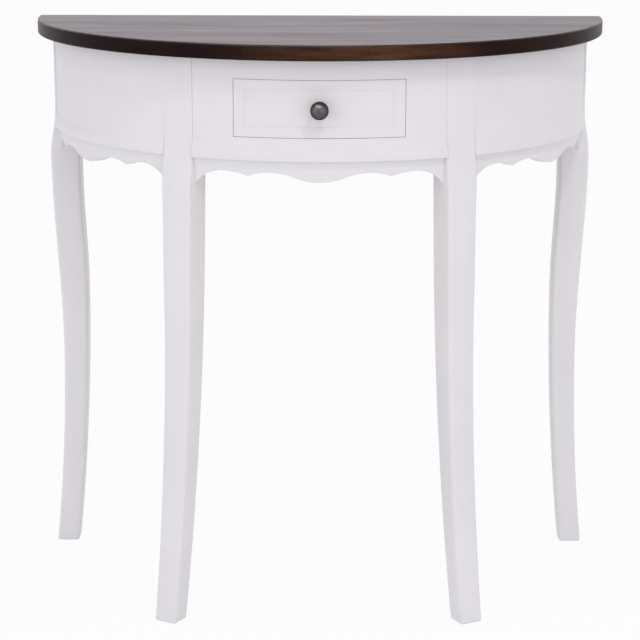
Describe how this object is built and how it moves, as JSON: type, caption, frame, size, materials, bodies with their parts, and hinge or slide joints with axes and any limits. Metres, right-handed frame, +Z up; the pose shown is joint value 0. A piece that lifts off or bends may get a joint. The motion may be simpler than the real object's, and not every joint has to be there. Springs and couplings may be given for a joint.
{
  "type": "demilune table",
  "caption": "Half-round hall table with a dark wood top, a white painted bow-front frieze holding a drawer with a ball knob, scalloped skirts and gently curved tapering legs.",
  "frame": {"origin": "on the floor, under the middle of the top's bounding box", "axes": "+X to the right as seen from the front, +Y from the drawer towards the wall, +Z up"},
  "size_m": [0.8, 0.4, 0.776],
  "materials": {
    "dark_top": "dark stained, satin lacquer",
    "white_paint": "white satin paint",
    "bare_wood": "bare planed softwood",
    "thin_panel": "thin bare plywood",
    "knob_metal": "dark antiqued pewter",
    "screw_steel": "zinc plated"
  },
  "bodies": {
    "carcass": {"back_rail": "white_paint", "centre_skirt": "white_paint", "front_left_corner_block": "bare_wood", "front_left_leg": "white_paint", "front_right_corner_block": "bare_wood", "front_right_leg": "white_paint", "left_drawer_kicker": "bare_wood", "left_drawer_runner": "bare_wood", "left_drawer_stile": "white_paint", "left_drawer_stop": "bare_wood", "left_side_apron": "white_paint", "left_side_skirt": "white_paint", "leg_dowels": "bare_wood", "lower_drawer_rail": "white_paint", "rail_dowels": "bare_wood", "rear_left_corner_block": "bare_wood", "rear_left_leg": "white_paint", "rear_right_corner_block": "bare_wood", "rear_right_leg": "white_paint", "right_drawer_kicker": "bare_wood", "right_drawer_runner": "bare_wood", "right_drawer_stile": "white_paint", "right_drawer_stop": "bare_wood", "right_side_apron": "white_paint", "right_side_skirt": "white_paint", "runner_screws": "screw_steel", "top_panel": "dark_top", "top_screws": "screw_steel", "upper_drawer_rail": "white_paint"},
    "drawer": {"drawer_front": "white_paint", "drawer_left_side": "bare_wood", "drawer_right_side": "bare_wood", "drawer_back": "bare_wood", "drawer_bottom": "thin_panel", "drawer_dowels": "bare_wood", "drawer_bottom_screws": "screw_steel", "knob": "knob_metal", "knob_screw": "screw_steel"}
  },
  "joints": [
    {"name": "drawer_slide", "type": "slide", "parent": "carcass", "child": "drawer", "axis": [0, -1, 0], "range_m": [0, 0.22]}
  ]
}
